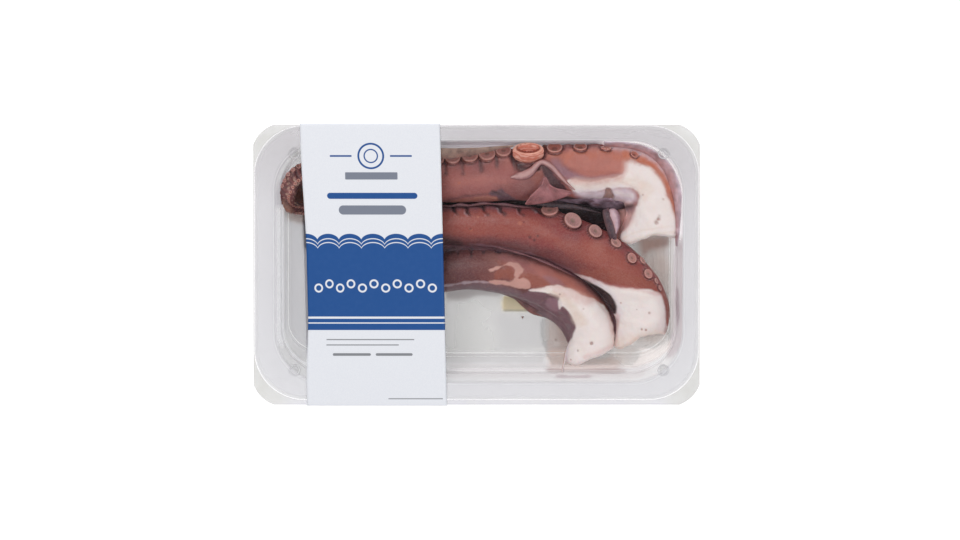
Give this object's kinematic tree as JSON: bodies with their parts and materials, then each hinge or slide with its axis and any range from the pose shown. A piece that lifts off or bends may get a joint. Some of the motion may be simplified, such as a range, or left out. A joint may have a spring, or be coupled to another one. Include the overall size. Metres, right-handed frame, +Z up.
{
  "type": "packed cooked octopus arms",
  "caption": "Chilled tray of cooked octopus arms, sealed under clear film, with a printed card sleeve wrapped round one half.",
  "frame": {"origin": "middle of the pack's outline, on the surface that it stands on", "axes": "+Z up through the lid film, +X along the pack from the sleeve's end to the cut ends of the arms"},
  "size_m": [0.23, 0.1474, 0.0324],
  "materials": {
    "tray_plastic": "clear formed tray with a faint milky cast, glossy",
    "film": "thin clear lid film, glossy",
    "card": "white card printed with a blue field, satin",
    "sticker_paper": "small pale yellow sticker, matt",
    "octopus": "wet cooked skin, brown-red to purple, with white flesh at the cut ends"
  },
  "bodies": {
    "root": {"tray": "tray_plastic", "lid_film": "film", "card_sleeve": "card", "sticker": "sticker_paper", "arm_top": "octopus", "arm_middle": "octopus", "arm_bottom": "octopus"}
  },
  "joints": []
}
